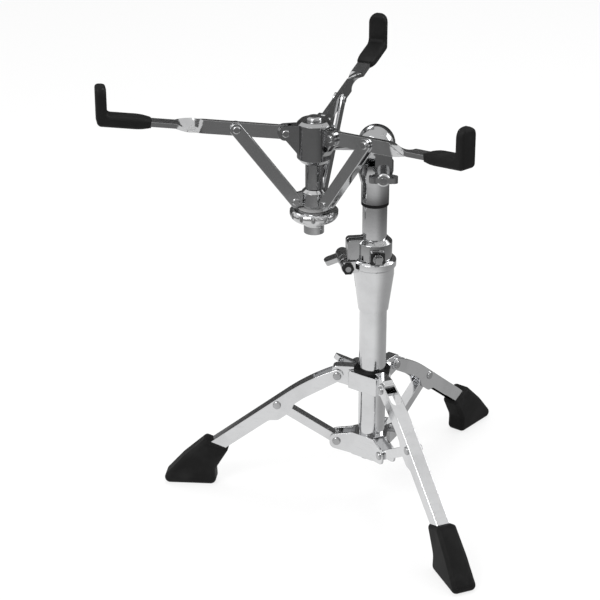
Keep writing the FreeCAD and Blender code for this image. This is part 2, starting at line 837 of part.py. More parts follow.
def make_strut(name, azimuth):
    """The strut's own X runs from the lower collar's ear to the leg's middle rivet."""
    body = new_body("strut_" + name)
    half = s.strut_half_depth
    end = half * round_share
    low = -half
    high = s.link_length + half
    pad(body, outline(body, "XZ_Plane", [
        (low, -half, end), (high, -half, end), (high, half, end), (low, half, end)]), s.strut_width, True)
    inside = s.strut_width - 2 * s.strut_sheet
    pocket(body, outline(body, "XZ_Plane", box_corners(
        low - s.overrun, -half - s.overrun, high + s.overrun, half - s.strut_sheet)), inside)
    for pivot in (as_size(0), s.link_length):
        pocket(body, circle(body, "XZ_Plane", pivot, 0, rivet_hole), s.overrun)
    keep(place(body, s.pivot_radius * cosine(azimuth), s.pivot_radius * sine(azimuth), s.lower_pivot_height,
               about(along_z, azimuth.value).multiply(about(along_y, -s.spread_angle.value))))


def make_foot(name, azimuth):
    """A rubber boot moulded round the end of the leg, drawn from the side on radius and height."""
    leg_end = s.pivot_radius + s.leg_toe_at * cosine(s.spread_angle)
    leg_end_height = upper_pivot_height - s.leg_toe_at * sine(s.spread_angle)
    heel = leg_end - s.heel_setback
    toe = heel + s.sole_length
    mouth = heel - s.mouth_low_setback
    body = new_body("foot_mould_" + name)
    pad(body, outline(body, "XZ_Plane", [
        (heel, 0, s.foot_round), (toe, 0, s.foot_round),
        (heel + s.instep_reach, s.foot_instep_rise, s.foot_instep_round),
        (heel + s.mouth_top_reach, leg_end_height + s.mouth_top_lift, s.foot_mouth_round),
        (mouth, leg_end_height - s.mouth_low_drop, s.foot_mouth_round),
        (heel + s.ankle_reach, s.foot_ankle_rise, s.foot_ankle_round)]), s.foot_width, True)
    past_toe = toe + s.foot_round
    for side in (1, -1):
        past_side = side * s.foot_width
        pocket(body, outline(body, "XY_Plane", [
            (mouth, side * s.foot_mouth_width / 2), (toe, side * s.foot_width / 2, s.foot_toe_round), (toe, 0),
            (past_toe, 0), (past_toe, past_side), (mouth, past_side)]), 2 * s.overrun)
    soften_sides(body, s.foot_side_round, s.foot_width)
    place(body, rotation=about(along_z, azimuth.value))
    blank = new_body("leg_blank_" + name)
    pad(blank, outline(blank, "XZ_Plane", leg_corners()), leg_width, True)
    keep(cut("foot_" + name, body, place_leg(blank, azimuth)))


# Riser, memory lock


lock_low = clamp_top + s.rest_gap
lock_high = lock_low + s.lock_height


def make_riser():
    bore = riser_radius - s.riser_wall
    keep(revolved("riser_tube", [
        (bore, riser_bottom), (riser_radius, riser_bottom), (riser_radius, sleeve_top),
        (bore, sleeve_top)]))
    flange = base_bore - s.guide_play
    keep(revolved("riser_guide", [
        (0, riser_bottom - s.riser_guide_flange), (flange, riser_bottom - s.riser_guide_flange),
        (flange, riser_bottom), (bore, riser_bottom),
        (bore, riser_bottom + s.riser_guide_length - s.riser_guide_flange),
        (0, riser_bottom + s.riser_guide_length - s.riser_guide_flange)]))


def make_memory_lock():
    body = new_body("memory_lock")
    ring = s.lock_dia / 2
    turn(body, "Revolution", outline(body, "XZ_Plane", [
        (0, lock_low), (ring, lock_low), (ring, lock_high - s.lock_bevel),
        (ring - s.lock_bevel, lock_high), (0, lock_high)]))
    pad(body, outline(body, "XZ_Plane", [
        (0, lock_low), (0, lock_high), (-s.lock_lug_reach, lock_high, s.lock_lug_round),
        (-s.lock_lug_reach, lock_low, s.lock_lug_round / 2)]), s.lock_lug_width, True)
    boss_half = s.lock_boss_width / 2
    boss_top = lock_low + s.lock_boss_height
    pad(body, outline(body, "XZ_Plane", [
        (-boss_half, lock_low), (boss_half, lock_low), (boss_half, boss_top, s.lock_lug_round / 2),
        (-boss_half, boss_top, s.lock_lug_round / 2)]), s.lock_boss_reach)
    key_height = lock_low + s.lock_boss_height / 2
    thread = s.key_bolt_dia / 2 + s.running_play
    pocket(body, circle(body, "XZ_Plane", 0, key_height, thread, s.lock_boss_reach), 2 * s.lock_boss_reach)
    pocket(body, circle(body, "XY_Plane", 0, 0, riser_radius + s.running_play, lock_low + s.lock_height / 2),
           s.lock_height + s.overrun)
    pocket(body, outline(body, "XZ_Plane", box_corners(
        -s.lock_lug_reach - s.overrun, lock_low - s.overrun, 0, lock_high + s.overrun)), s.lock_slit)
    keep(place(body, rotation=about(along_z, s.clamp_turn.value)))
    bolt = new_body("memory_lock_key_bolt")
    collar = s.key_collar_dia / 2
    shank = s.key_bolt_dia / 2
    length = s.lock_boss_reach - riser_radius
    turn(bolt, "Revolution", outline(bolt, "XZ_Plane", [
        (0, -length), (shank, -length), (shank, 0), (collar, 0), (collar, s.key_collar), (0, s.key_collar)]))
    half_head = s.key_head / 2
    pad(bolt, outline(bolt, "XY_Plane", box_corners(-half_head, -half_head, half_head, half_head)),
        s.key_head_length)
    keep(place_turned(bolt, as_size(0), -s.lock_boss_reach - s.rest_gap, key_height, s.clamp_turn,
                      about(along_x, 90)))


# Ball tilter


ball_radius = s.ball_dia / 2
shell_radius = s.shell_dia / 2
cup_radius = s.cup_dia / 2


def shell_blank(side):
    """Half of the ball's shell before it is hollowed: side is 1 at the back and -1 in front."""
    outer = place(ball(shell_radius), 0, 0, ball_height)
    half_split = s.shell_split / 2
    if side > 0:
        half = block((-s.overrun, half_split, ball_height - s.overrun),
                     (s.overrun, s.overrun, ball_height + s.overrun))
    else:
        half = block((-s.overrun, -s.overrun, ball_height - s.overrun),
                     (s.overrun, -half_split, ball_height + s.overrun))
    return joined("shell_half", "MultiCommon", [outer, half])


def ball_space():
    """The ball's seat, and the slot that the stem swings in."""
    seat = place(ball(ball_radius + s.running_play), 0, 0, ball_height)
    half_slot = s.stem_slot_width / 2
    slot = block((-s.overrun, -half_slot, ball_height - s.stem_slot_drop),
                 (-s.stem_slot_end, half_slot, ball_height + s.overrun))
    return joined("ball_space", "MultiFuse", [seat, slot])


def bolt_space():
    """The clamp bolt's hole, along Y under the ball."""
    hole = rod(s.tilter_bolt_dia / 2 + s.running_play, 2 * s.overrun)
    return place(hole, s.tilter_bolt_aside, s.overrun, tilter_bolt_height, about(along_x, 90))


def make_tilter():
    sleeve = riser_radius + s.sleeve_wall
    neck = revolved("tilter_neck", [
        (riser_radius, sleeve_bottom), (sleeve, sleeve_bottom), (sleeve, sleeve_top),
        (cup_radius, cup_bottom), (cup_radius, cup_top), (0, cup_top), (0, sleeve_top),
        (riser_radius, sleeve_top)])
    solid = joined("tilter_casting", "MultiFuse", [neck, shell_blank(1)])
    spaces = joined("tilter_spaces", "MultiFuse", [ball_space(), bolt_space()])
    keep(cut("tilter_base", solid, spaces))

    half_lug = s.jaw_lug_width / 2
    lug_back = cup_radius + s.rest_gap
    lug = block((s.tilter_bolt_aside - half_lug, -lug_back - s.jaw_lug_sheet,
                 tilter_bolt_height - s.jaw_lug_drop),
                (s.tilter_bolt_aside + half_lug, -ball_radius, ball_height))
    front = joined("jaw_casting", "MultiFuse", [shell_blank(-1), lug])
    neck_room = place(rod(lug_back, s.overrun), 0, 0, cup_top + s.rest_gap - s.overrun)
    room = joined("jaw_spaces", "MultiFuse", [ball_space(), bolt_space(), neck_room])
    keep(cut("tilter_jaw", front, room))

    jaw_front = lug_back + s.jaw_lug_sheet
    shank = s.tilter_bolt_dia / 2
    head = s.tilter_bolt_head_dia / 2
    wing_seat = jaw_front + s.rest_gap
    wing_top = s.tilter_wing_neck + s.wing_lobe_height
    bolt = revolved("tilter_bolt", [
        (0, -cup_radius - s.tilter_bolt_head),
        (head, -cup_radius - s.tilter_bolt_head, s.tilter_bolt_head / 2), (head, -cup_radius),
        (shank, -cup_radius), (shank, wing_seat + wing_top), (0, wing_seat + wing_top)])
    keep(place(bolt, s.tilter_bolt_aside, 0, tilter_bolt_height, about(along_x, 90)))

    nut = wing_bolt("tilter_wing_nut", s.tilter_wing_neck, s.tilter_wing_reach, s.tilter_bolt_dia,
                    s.rest_gap / 2)
    pocket(nut, circle(nut, "XY_Plane", 0, 0, shank + s.running_play), 2 * s.overrun)
    keep(place(nut, s.tilter_bolt_aside, -wing_seat, tilter_bolt_height, about(along_x, 90)))

    stem_end = s.hub_offset - s.hub_dia / 2 + s.stem_socket_depth
    stem = place(rod(s.stem_dia / 2, stem_end), 0, 0, ball_height, about(along_y, -90))
    knuckle = place(ball(ball_radius), 0, 0, ball_height)
    keep(joined("ball_stem", "MultiFuse", [knuckle, stem]))


# Basket hub, spindle, slider and knob


arm_slot = s.arm_thickness + 2 * s.arm_gap
arm_pin_hole = s.arm_pin_dia / 2 + s.running_play
fork_inside = s.arm_thickness + 2 * s.arm_gap
brace_width = fork_inside + 2 * s.brace_sheet
spindle_radius = s.spindle_dia / 2


def make_hub():
    body = new_body("hub_casting")
    hub = s.hub_dia / 2
    foot = s.hub_foot_dia / 2
    turn(body, "Revolution", outline(body, "XZ_Plane", [
        (0, hub_bottom), (foot, hub_bottom), (hub, hub_bottom + s.hub_bevel),
        (hub, hub_top - s.hub_crown_bevel), (hub - s.hub_crown_bevel, hub_top), (0, hub_top)]))
    tip = s.arm_pivot_radius + s.hub_ear_round
    ear_low = arm_pivot_height - s.hub_ear_round
    ear_top = arm_pivot_height + s.hub_ear_round
    ear_end = s.hub_ear_round * round_share
    ear = pad(body, outline(body, "XZ_Plane", [
        (0, ear_low - s.hub_ear_skirt), (hub, ear_low - s.hub_ear_skirt), (s.arm_pivot_radius, ear_low),
        (tip, ear_low, ear_end), (tip, ear_top, ear_end), (0, ear_top)]),
        arm_slot + 2 * s.hub_ear_sheet, True)
    slot_in = s.arm_pivot_radius - s.arm_width / 2 - s.rest_gap
    slot = pocket(body, outline(body, "XZ_Plane", box_corners(
        slot_in, hub_bottom, tip + s.overrun, hub_top + s.overrun)), arm_slot)
    hole = pocket(body, circle(body, "XZ_Plane", s.arm_pivot_radius, arm_pivot_height, arm_pin_hole),
                  s.overrun)
    repeat_round(body, [ear, slot, hole], leg_count)
    pocket(body, circle(body, "XY_Plane", 0, 0, spindle_radius, hub_bottom), 2 * s.spindle_seat)
    place(body, -s.hub_offset, 0, 0, about(along_z, s.arm_azimuth.value))
    socket = place(rod(s.stem_dia / 2 + s.running_play, s.overrun),
                   -s.hub_offset + hub - s.stem_socket_depth, 0, ball_height, about(along_y, 90))
    screw_x = -s.hub_offset + hub - s.stem_socket_depth / 2
    screw_seat = s.stem_dia / 2 + s.rest_gap
    screw_length = root(hub * hub - (s.stem_socket_depth / 2 - hub) * (s.stem_socket_depth / 2 - hub))
    screw_hole = place(rod(s.set_screw_dia / 2, s.overrun), screw_x, 0, ball_height, about(along_x, 90))
    keep(cut("basket_hub", body, joined("hub_spaces", "MultiFuse", [socket, screw_hole])))
    screw = rod(s.set_screw_dia / 2, screw_length - screw_seat - s.set_screw_recess)
    screw.Label = "stem_set_screw"
    keep(place(screw, screw_x, -screw_seat, ball_height, about(along_x, 90)))
    cap = s.cap_nut_dia / 2
    keep(place(revolved("hub_cap_nut", [
        (0, hub_top), (cap, hub_top), (cap, hub_top + s.cap_nut_rise, s.cap_nut_rise * dome_share),
        (0, hub_top + s.cap_nut_rise)]), -s.hub_offset))
    keep(place(revolved("spindle", [
        (0, spindle_bottom), (spindle_radius, spindle_bottom),
        (spindle_radius, hub_bottom + s.spindle_seat), (0, hub_bottom + s.spindle_seat)]), -s.hub_offset))


def basket_pins(label, radius, height, grip):
    pins = []
    for turn_number in range(leg_count):
        pin = rivet(label + "_one", s.arm_pin_dia, grip, s.arm_pin_head_dia, s.arm_pin_head_rise)
        azimuth = s.arm_azimuth + turn_number * 360 / leg_count
        pins.append(place(pin, -s.hub_offset + radius * cosine(azimuth), radius * sine(azimuth), height,
                          about(along_z, azimuth.value).multiply(about(along_x, 90))))
    keep(joined(label, "Compound", pins))


def make_slider():
    body = new_body("slider")
    outer = s.slider_dia / 2
    turn(body, "Revolution", outline(body, "XZ_Plane", [
        (0, slider_bottom), (outer, slider_bottom), (outer, slider_top - s.slider_bevel),
        (outer - s.slider_bevel, slider_top), (0, slider_top)]))
    tip = s.brace_low_radius + s.slider_lug_round
    low = brace_low_height - s.slider_lug_round
    high = brace_low_height + s.slider_lug_round
    end = s.slider_lug_round * round_share
    lug_top = high + s.slider_bevel
    lug = pad(body, outline(body, "XZ_Plane", [
        (0, low), (tip, low, end), (tip, high, end), (outer, lug_top), (0, lug_top)]), s.arm_thickness, True)
    hole = pocket(body, circle(body, "XZ_Plane", s.brace_low_radius, brace_low_height, arm_pin_hole),
                  s.overrun)
    repeat_round(body, [lug, hole], leg_count)
    pocket(body, circle(body, "XY_Plane", 0, 0, spindle_radius + s.running_play,
                        (slider_bottom + slider_top) / 2), s.overrun)
    keep(place(body, -s.hub_offset, 0, 0, about(along_z, s.arm_azimuth.value)))
    keep(place(revolved("thrust_washer", [
        (spindle_radius + s.running_play, slider_bottom - s.washer_thickness),
        (s.washer_dia / 2, slider_bottom - s.washer_thickness), (s.washer_dia / 2, slider_bottom),
        (spindle_radius + s.running_play, slider_bottom)]), -s.hub_offset))


def make_knob():
    body = new_body("adjusting_knob")
    rim = s.knob_rim_dia / 2
    tail = s.knob_tail_dia / 2
    top = slider_bottom - s.washer_thickness - s.rest_gap
    rim_low = top - s.knob_top_bevel - s.knob_rim
    turn(body, "Revolution", outline(body, "XZ_Plane", [
        (0, knob_bottom), (tail, knob_bottom), (tail, knob_bowl_bottom, s.knob_bowl_round / 4),
        (rim, rim_low - s.knob_top_bevel, s.knob_bowl_round / 2), (rim, top - s.knob_top_bevel),
        (rim - s.knob_top_bevel, top), (0, top)]))
    flute = s.knob_flute_dia / 2
    flute_at = rim + flute - s.knob_flute_depth
    scallop = pocket(body, circle(body, "XY_Plane", flute_at, 0, flute, top), 2 * s.overrun)
    repeat_round(body, [scallop], knob_flutes)
    pocket(body, circle(body, "XY_Plane", 0, 0, spindle_radius + s.running_play, top), 2 * s.overrun)
    keep(place(body, -s.hub_offset))


# Arms, grips and braces


def place_arm(thing, azimuth):
    """An arm's own X runs out along the strip from its pivot, and its Z is square to the strip."""
    reach = s.arm_pivot_radius
    return place(thing, -s.hub_offset + reach * cosine(azimuth), reach * sine(azimuth), arm_pivot_height,
                 about(along_z, azimuth.value).multiply(about(along_y, -s.arm_rise.value)))


def strip_section(body, turned_share):
    """The strip's section across its length, part of the way along the twist and turned as far."""
    half_thickness = s.arm_thickness / 2
    half_width = s.arm_width / 2
    section = outline(body, "YZ_Plane", box_corners(-half_thickness, -half_width, half_thickness, half_width),
                      s.arm_twist_at + turned_share * s.arm_twist_length)
    spot = section.AttachmentOffset.Base
    section.AttachmentOffset = FreeCAD.Placement(spot, about(along_z, 90 * turned_share))
    return section


def make_arm(name, azimuth):
    """Steel strip: upright at the hub, twisted a quarter turn, then flat and bent up into the finger."""
    arm = new_body("arm_" + name)
    half_width = s.arm_width / 2
    root_end = half_width * round_share
    pad(arm, outline(arm, "XZ_Plane", [
        (-half_width, -half_width, root_end), (s.arm_twist_at, -half_width), (s.arm_twist_at, half_width),
        (-half_width, half_width, root_end)]), s.arm_thickness, True)
    sections = [strip_section(arm, step / twist_steps) for step in range(twist_steps + 1)]
    twist = arm.newObject("PartDesign::AdditiveLoft", arm.Name + "_twist")
    twist.Profile = sections[0]
    twist.Sections = sections[1:]
    twist.Ruled = True
    arm.Tip = twist

    lean_sine = sine(s.arm_rise)
    lean_cosine = cosine(s.arm_rise)
    half = s.arm_thickness / 2
    side_x = half * lean_cosine
    side_z = half * lean_sine
    corner_x = (half - half * lean_sine) / lean_cosine
    tip_x = s.arm_bend_at + s.arm_finger * lean_sine
    tip_z = s.arm_finger * lean_cosine
    twist_end = s.arm_twist_at + s.arm_twist_length
    pad(arm, outline(arm, "XZ_Plane", [
        (twist_end, -half), (s.arm_bend_at + corner_x, -half, s.arm_bend_round + s.arm_thickness),
        (tip_x + side_x, tip_z - side_z), (tip_x - side_x, tip_z + side_z),
        (s.arm_bend_at - corner_x, half, s.arm_bend_round), (twist_end, half)]), s.arm_width, True)
    pocket(arm, circle(arm, "XZ_Plane", 0, 0, arm_pin_hole), s.overrun)
    slack = s.arm_pin_dia / 2 + s.brace_slack_play
    slot_end = slack * round_share
    slot_in = s.brace_on_arm - s.brace_slack - slack
    slot_out = s.brace_on_arm + slack
    pocket(arm, outline(arm, "XZ_Plane", [
        (slot_in, -slack, slot_end), (slot_out, -slack, slot_end), (slot_out, slack, slot_end),
        (slot_in, slack, slot_end)]), s.overrun)
    keep(place_arm(arm, azimuth))

    body = new_body("grip_mould_" + name)
    half = s.grip_thickness / 2
    finger_half = s.grip_finger_thickness / 2
    inner_end = s.arm_bend_at + finger_half - s.grip_length
    top = s.grip_height - half
    tip_x = s.arm_bend_at + top * lean_sine
    tip_z = top * lean_cosine
    side_x = finger_half * lean_cosine
    side_z = finger_half * lean_sine
    foot_x = half * lean_sine / lean_cosine
    pad(body, outline(body, "XZ_Plane", [
        (inner_end, -half), (s.arm_bend_at + finger_half / lean_cosine - foot_x, -half, s.grip_tip_round),
        (tip_x + side_x, tip_z - side_z, s.grip_tip_round * round_share),
        (tip_x - side_x, tip_z + side_z, s.grip_tip_round * round_share),
        (s.arm_bend_at - finger_half / lean_cosine + foot_x, half, s.grip_tip_round), (inner_end, half)]),
        s.grip_width, True)
    soften_sides(body, s.grip_round, s.grip_width)
    keep(cut("grip_" + name, place_arm(body, azimuth), arm))


def brace_pose():
    """The brace's length and slope, from its pin on the arm to its pin on the slider."""
    run = s.arm_pivot_radius + s.brace_on_arm * cosine(s.arm_rise) - s.brace_low_radius
    climb = arm_pivot_height + s.brace_on_arm * sine(s.arm_rise) - brace_low_height
    slope = math.degrees(math.atan2(climb.value, run.value))
    return root(run * run + climb * climb), slope


def make_brace(name, azimuth):
    """A fork of two plates joined by a web on its outer edge. Its own X runs up from the slider."""
    body = new_body("brace_" + name)
    length, slope = brace_pose()
    half = s.brace_half_width
    end = half * round_share
    pad(body, outline(body, "XZ_Plane", [
        (-half, -half, end), (length + half, -half, end), (length + half, half, end), (-half, half, end)]),
        brace_width, True)
    web_top = -half + s.brace_web
    web_end = length - s.brace_web_high
    pocket(body, outline(body, "XZ_Plane", [
        (-half - s.overrun, -half - s.overrun), (s.brace_web_low, -half - s.overrun),
        (s.brace_web_low, web_top), (web_end, web_top), (web_end, -half - s.overrun),
        (length + s.overrun, -half - s.overrun),
        (length + s.overrun, half + s.overrun), (-half - s.overrun, half + s.overrun)]), fork_inside)
    pocket(body, circle(body, "XZ_Plane", 0, 0, arm_pin_hole), s.overrun)
    pocket(body, circle(body, "XZ_Plane", length, 0, arm_pin_hole), s.overrun)
    low = s.brace_low_radius
    keep(place(body, -s.hub_offset + low * cosine(azimuth), low * sine(azimuth), brace_low_height,
               about(along_z, azimuth.value).multiply(about(along_y, -slope))))
    pin = rivet("brace_pin_" + name, s.arm_pin_dia, brace_width, s.arm_pin_head_dia, s.arm_pin_head_rise)
    high = s.arm_pivot_radius + s.brace_on_arm * cosine(s.arm_rise)
    keep(place(pin, -s.hub_offset + high * cosine(azimuth), high * sine(azimuth),
               arm_pivot_height + s.brace_on_arm * sine(s.arm_rise),
               about(along_z, azimuth.value).multiply(about(along_x, 90))))


make_base_tube()
make_lower_collar()
make_height_clamp()
make_upper_collar()
for number, leg_name in enumerate(legs):
    leg_turn = s.leg_azimuth + number * 360 / leg_count
    make_leg(leg_name, leg_turn)
    make_strut(leg_name, leg_turn)
    make_foot(leg_name, leg_turn)
make_riser()
make_memory_lock()
make_tilter()
make_hub()
basket_pins("arm_pivot_pins", s.arm_pivot_radius, arm_pivot_height, arm_slot + 2 * s.hub_ear_sheet)
basket_pins("brace_lower_pins", s.brace_low_radius, brace_low_height, brace_width)
make_slider()
make_knob()
for number, arm_name in enumerate(arms):
    arm_turn = s.arm_azimuth + number * 360 / leg_count
    make_arm(arm_name, arm_turn)
    make_brace(arm_name, arm_turn)

doc.recompute()
for thing in doc.Objects:
    if "Invalid" in thing.State or "Error" in thing.State:
        raise RuntimeError("%s did not rebuild" % thing.Label)
for node in nodes:
    if node.Shape.isNull() or not node.Shape.isValid() or not node.Shape.Solids:
        raise RuntimeError("%s has no sound solid" % node.Label)
os.makedirs("parts", exist_ok=True)
for node in nodes:
    node.Shape.exportStep("parts/%s.step" % node.Label)
print("%d sub-parts" % len(nodes))
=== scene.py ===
import bpy
import bmesh
import json
import math
from mathutils import Matrix, Vector


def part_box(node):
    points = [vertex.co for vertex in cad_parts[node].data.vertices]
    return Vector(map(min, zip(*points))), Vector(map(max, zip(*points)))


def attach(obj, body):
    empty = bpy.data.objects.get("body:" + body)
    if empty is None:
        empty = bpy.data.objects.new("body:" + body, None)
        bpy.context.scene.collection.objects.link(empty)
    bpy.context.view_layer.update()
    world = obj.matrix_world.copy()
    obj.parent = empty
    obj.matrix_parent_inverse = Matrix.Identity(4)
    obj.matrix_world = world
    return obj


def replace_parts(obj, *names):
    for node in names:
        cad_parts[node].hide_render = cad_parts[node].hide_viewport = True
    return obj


# Snare drum stand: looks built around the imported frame, in metres, +Z up, photo taken along +Y

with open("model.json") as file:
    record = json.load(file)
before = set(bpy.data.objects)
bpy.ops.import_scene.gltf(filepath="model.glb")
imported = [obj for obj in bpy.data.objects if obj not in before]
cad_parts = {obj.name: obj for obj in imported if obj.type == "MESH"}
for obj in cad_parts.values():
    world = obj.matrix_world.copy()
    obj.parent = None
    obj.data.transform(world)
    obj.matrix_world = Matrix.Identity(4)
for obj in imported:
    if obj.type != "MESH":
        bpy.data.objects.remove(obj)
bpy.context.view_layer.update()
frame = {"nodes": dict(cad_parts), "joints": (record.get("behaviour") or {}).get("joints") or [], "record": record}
nodes = frame["nodes"]
bodies = frame["record"]["behaviour"]["bodies"]
bodyOf = {node: body for body, members in bodies.items() for node in members}
legNames = ("right", "left", "front")
armNames = ("back", "left", "right")
mm = 0.001
white = (1, 1, 1, 1)
print("frame loaded:", len(nodes), "nodes")


def greyColour(level):
    return (level, level, level, 1)


def jointNamed(name):
    return next(joint for joint in frame["joints"] if joint["name"] == name)


# shader helpers

def addNode(tree, kind, values=None, **settings):
    node = tree.nodes.new(kind)
    for name, value in settings.items():
        setattr(node, name, value)
    for socket, value in (values or {}).items():
        node.inputs[socket].default_value = value
    return node


def newMaterial(name):
    material = bpy.data.materials.new(name)
    material.use_nodes = True
    shader = next(node for node in material.node_tree.nodes if node.type == "BSDF_PRINCIPLED")
    return material, material.node_tree, shader


def newGroup(name, inputs, outputs):
    tree = bpy.data.node_groups.new(name, "ShaderNodeTree")
    for way, sockets in (("INPUT", inputs), ("OUTPUT", outputs)):
        for label, kind in sockets.items():
            tree.interface.new_socket(name=label, in_out=way, socket_type=kind)
    return tree, tree.nodes.new("NodeGroupInput"), tree.nodes.new("NodeGroupOutput")


noiseRoughness = 0.55


def objectNoise(tree, scale, detail, stretch=(1, 1, 1)):
    # noise on Object coordinates, stretched along an axis where the finish has a direction
    place = addNode(tree, "ShaderNodeTexCoord")
    mapping = addNode(tree, "ShaderNodeMapping", {"Scale": stretch})
    noise = addNode(tree, "ShaderNodeTexNoise", {
        "Scale": scale, "Detail": detail, "Roughness": noiseRoughness})
    tree.links.new(place.outputs["Object"], mapping.inputs["Vector"])
    tree.links.new(mapping.outputs["Vector"], noise.inputs["Vector"])
    return noise.outputs["Fac"]


def spread(tree, source, span, newSpan, **settings):
    values = dict(enumerate(span + newSpan, 1))  # From Min, From Max, To Min and To Max
    node = addNode(tree, "ShaderNodeMapRange", values, **settings)
    tree.links.new(source, node.inputs[0])
    return node.outputs[0]


def combine(tree, operation, first, second):
    node = addNode(tree, "ShaderNodeMath", operation=operation)
    tree.links.new(first, node.inputs[0])
    if isinstance(second, float):
        node.inputs[1].default_value = second
    else:
        tree.links.new(second, node.inputs[1])
    return node.outputs[0]


def mixColours(tree, mask, first, second):
    node = addNode(tree, "ShaderNodeMix", data_type="RGBA")
    for socket, source in ((0, mask), (6, first), (7, second)):  # factor and the two colours
        tree.links.new(source, node.inputs[socket])
    return node.outputs[2]


def mixShaders(tree, mask, first, second, output):
    node = addNode(tree, "ShaderNodeMixShader")
    for socket, source in enumerate((mask, first.outputs[0], second.outputs[0])):
        tree.links.new(source, node.inputs[socket])
    tree.links.new(node.outputs[0], tree.nodes[output].inputs["Surface"])


# shared effects

fullSpan = (0.0, 1.0)
skinOutputs = {"Color": "NodeSocketColor", "Roughness": "NodeSocketFloat", "Height": "NodeSocketFloat"}
platingLook = {  # noise scales and details, the levels between which a mark fades in, and shares in the whole
    "cloudScale": 22.0, "cloudDetail": 5.0, "cloudSpan": (0.46, 0.72),
    "wipeScale": 60.0, "wipeDetail": 6.0, "wipeStretch": (1.0, 1.0, 9.0),
    "wipeSpan": (0.55, 0.75), "wipeShare": 0.6,
    "peelScale": 420.0, "peelDetail": 2.0, "peelShare": 0.4}


def platingFilmGroup():
    # polished plating: cloudy haze left by handling, faint wipe marks and the slight peel of the plated skin
    look = platingLook
    tree, source, result = newGroup("platingFilm", {
        "Tint": "NodeSocketColor", "Shade": "NodeSocketColor",
        "Clean": "NodeSocketFloat", "Hazed": "NodeSocketFloat"}, skinOutputs)
    cloud = objectNoise(tree, look["cloudScale"], look["cloudDetail"])
    wipe = objectNoise(tree, look["wipeScale"], look["wipeDetail"], look["wipeStretch"])
    peel = objectNoise(tree, look["peelScale"], look["peelDetail"])
    cloudMask = spread(tree, cloud, look["cloudSpan"], fullSpan)
    wipeMask = spread(tree, wipe, look["wipeSpan"], fullSpan)
    haze = combine(tree, "MAXIMUM", cloudMask, combine(tree, "MULTIPLY", wipeMask, look["wipeShare"]))
    wear = addNode(tree, "ShaderNodeMapRange")
    # value, To Min and To Max
    for socket, value in ((0, haze), (3, source.outputs["Clean"]), (4, source.outputs["Hazed"])):
        tree.links.new(value, wear.inputs[socket])
    colour = mixColours(tree, haze, source.outputs["Tint"], source.outputs["Shade"])
    height = combine(tree, "ADD", combine(tree, "MULTIPLY", peel, look["peelShare"]), cloud)
    for label, value in (("Color", colour), ("Roughness", wear.outputs[0]), ("Height", height)):
        tree.links.new(value, result.inputs[label])
    return tree


rubberLook = {  # noise scales and details, the levels between which a mark fades in, and what it fades to
    "grainScale": 2600.0, "grainDetail": 2.0, "grainShare": 0.35,
    "scuffScale": 45.0, "scuffDetail": 8.0, "scuffSpan": (0.5, 0.78),
    "mottleScale": 12.0, "mottleDetail": 3.0, "mottleSpan": (0.4, 0.65), "mottleShares": (0.25, 1.0),
    "roughSpan": (0.3, 0.7), "roughness": (0.5, 0.68)}


def rubberSkinGroup():
    # moulded rubber: fine sandy grain, broad mottling and paler scuffs
    look = rubberLook
    tree, source, result = newGroup("rubberSkin", {
        "Colour": "NodeSocketColor", "Scuff": "NodeSocketColor"}, skinOutputs)
    grain = objectNoise(tree, look["grainScale"], look["grainDetail"])
    scuff = objectNoise(tree, look["scuffScale"], look["scuffDetail"])
    mottle = objectNoise(tree, look["mottleScale"], look["mottleDetail"])
    scuffMask = spread(tree, scuff, look["scuffSpan"], fullSpan)
    mottleMask = spread(tree, mottle, look["mottleSpan"], look["mottleShares"])
    mask = combine(tree, "MULTIPLY", scuffMask, mottleMask)
    colour = mixColours(tree, mask, source.outputs["Colour"], source.outputs["Scuff"])
    roughness = spread(tree, mottle, look["roughSpan"], look["roughness"])
    height = combine(tree, "ADD", combine(tree, "MULTIPLY", grain, look["grainShare"]), scuff)
    for label, value in (("Color", colour), ("Roughness", roughness), ("Height", height)):
        tree.links.new(value, result.inputs[label])
    return tree


platingFilm = platingFilmGroup()
rubberSkin = rubberSkinGroup()
print("shared effects made")


# finishes

def skinnedMaterial(name, group, inputs, bumpStrength, bumpDepth):
    material, tree, shader = newMaterial(name)
    effect = addNode(tree, "ShaderNodeGroup", node_tree=group)
    for label, value in inputs.items():
        effect.inputs[label].default_value = value
    bump = addNode(tree, "ShaderNodeBump", {"Strength": bumpStrength, "Distance": bumpDepth})
    tree.links.new(effect.outputs["Color"], shader.inputs["Base Color"])
    tree.links.new(effect.outputs["Roughness"], shader.inputs["Roughness"])
    tree.links.new(effect.outputs["Height"], bump.inputs["Height"])
    tree.links.new(bump.outputs["Normal"], shader.inputs["Normal"])
    return material, shader


plated = {  # colour of the clean and of the hazed plating, and the roughness of each; the chrome rows are one plating, with tints painted lighter and darker for the light each part reflects
    "chromePaintedLit": {"tint": 0.64, "shade": 0.55, "clean": 0.08, "hazed": 0.16},
    "riserChrome": {"tint": 0.68, "shade": 0.60, "clean": 0.09, "hazed": 0.18},
    "chromePaintedDim": {"tint": 0.56, "shade": 0.46, "clean": 0.08, "hazed": 0.18},
    "shadedChrome": {"tint": 0.40, "shade": 0.32, "clean": 0.09, "hazed": 0.18},
    "pinSteel": {"tint": 0.42, "shade": 0.30, "clean": 0.16, "hazed": 0.34},
    # near-black steel: the set screw's own colour, painted shade on the clamp nut and a painted dark reflection on
    # the memory lock's boss
    "blackSteelAndPaintedShade": {"tint": 0.05, "shade": 0.03, "clean": 0.22, "hazed": 0.40},
}
platedSkin = {"bump": 0.05, "bumpDepth": 0.4, "greenCast": 1.005, "blueCast": 1.015}


def coolGrey(level):
    return (level, level * platedSkin["greenCast"], level * platedSkin["blueCast"], 1)


def platedMetal(name):
    look = plated[name]
    material, shader = skinnedMaterial(name, platingFilm, {
        "Tint": coolGrey(look["tint"]), "Shade": coolGrey(look["shade"]),
        "Clean": look["clean"], "Hazed": look["hazed"]}, platedSkin["bump"], platedSkin["bumpDepth"] * mm)
    shader.inputs["Metallic"].default_value = 1.0
    return material


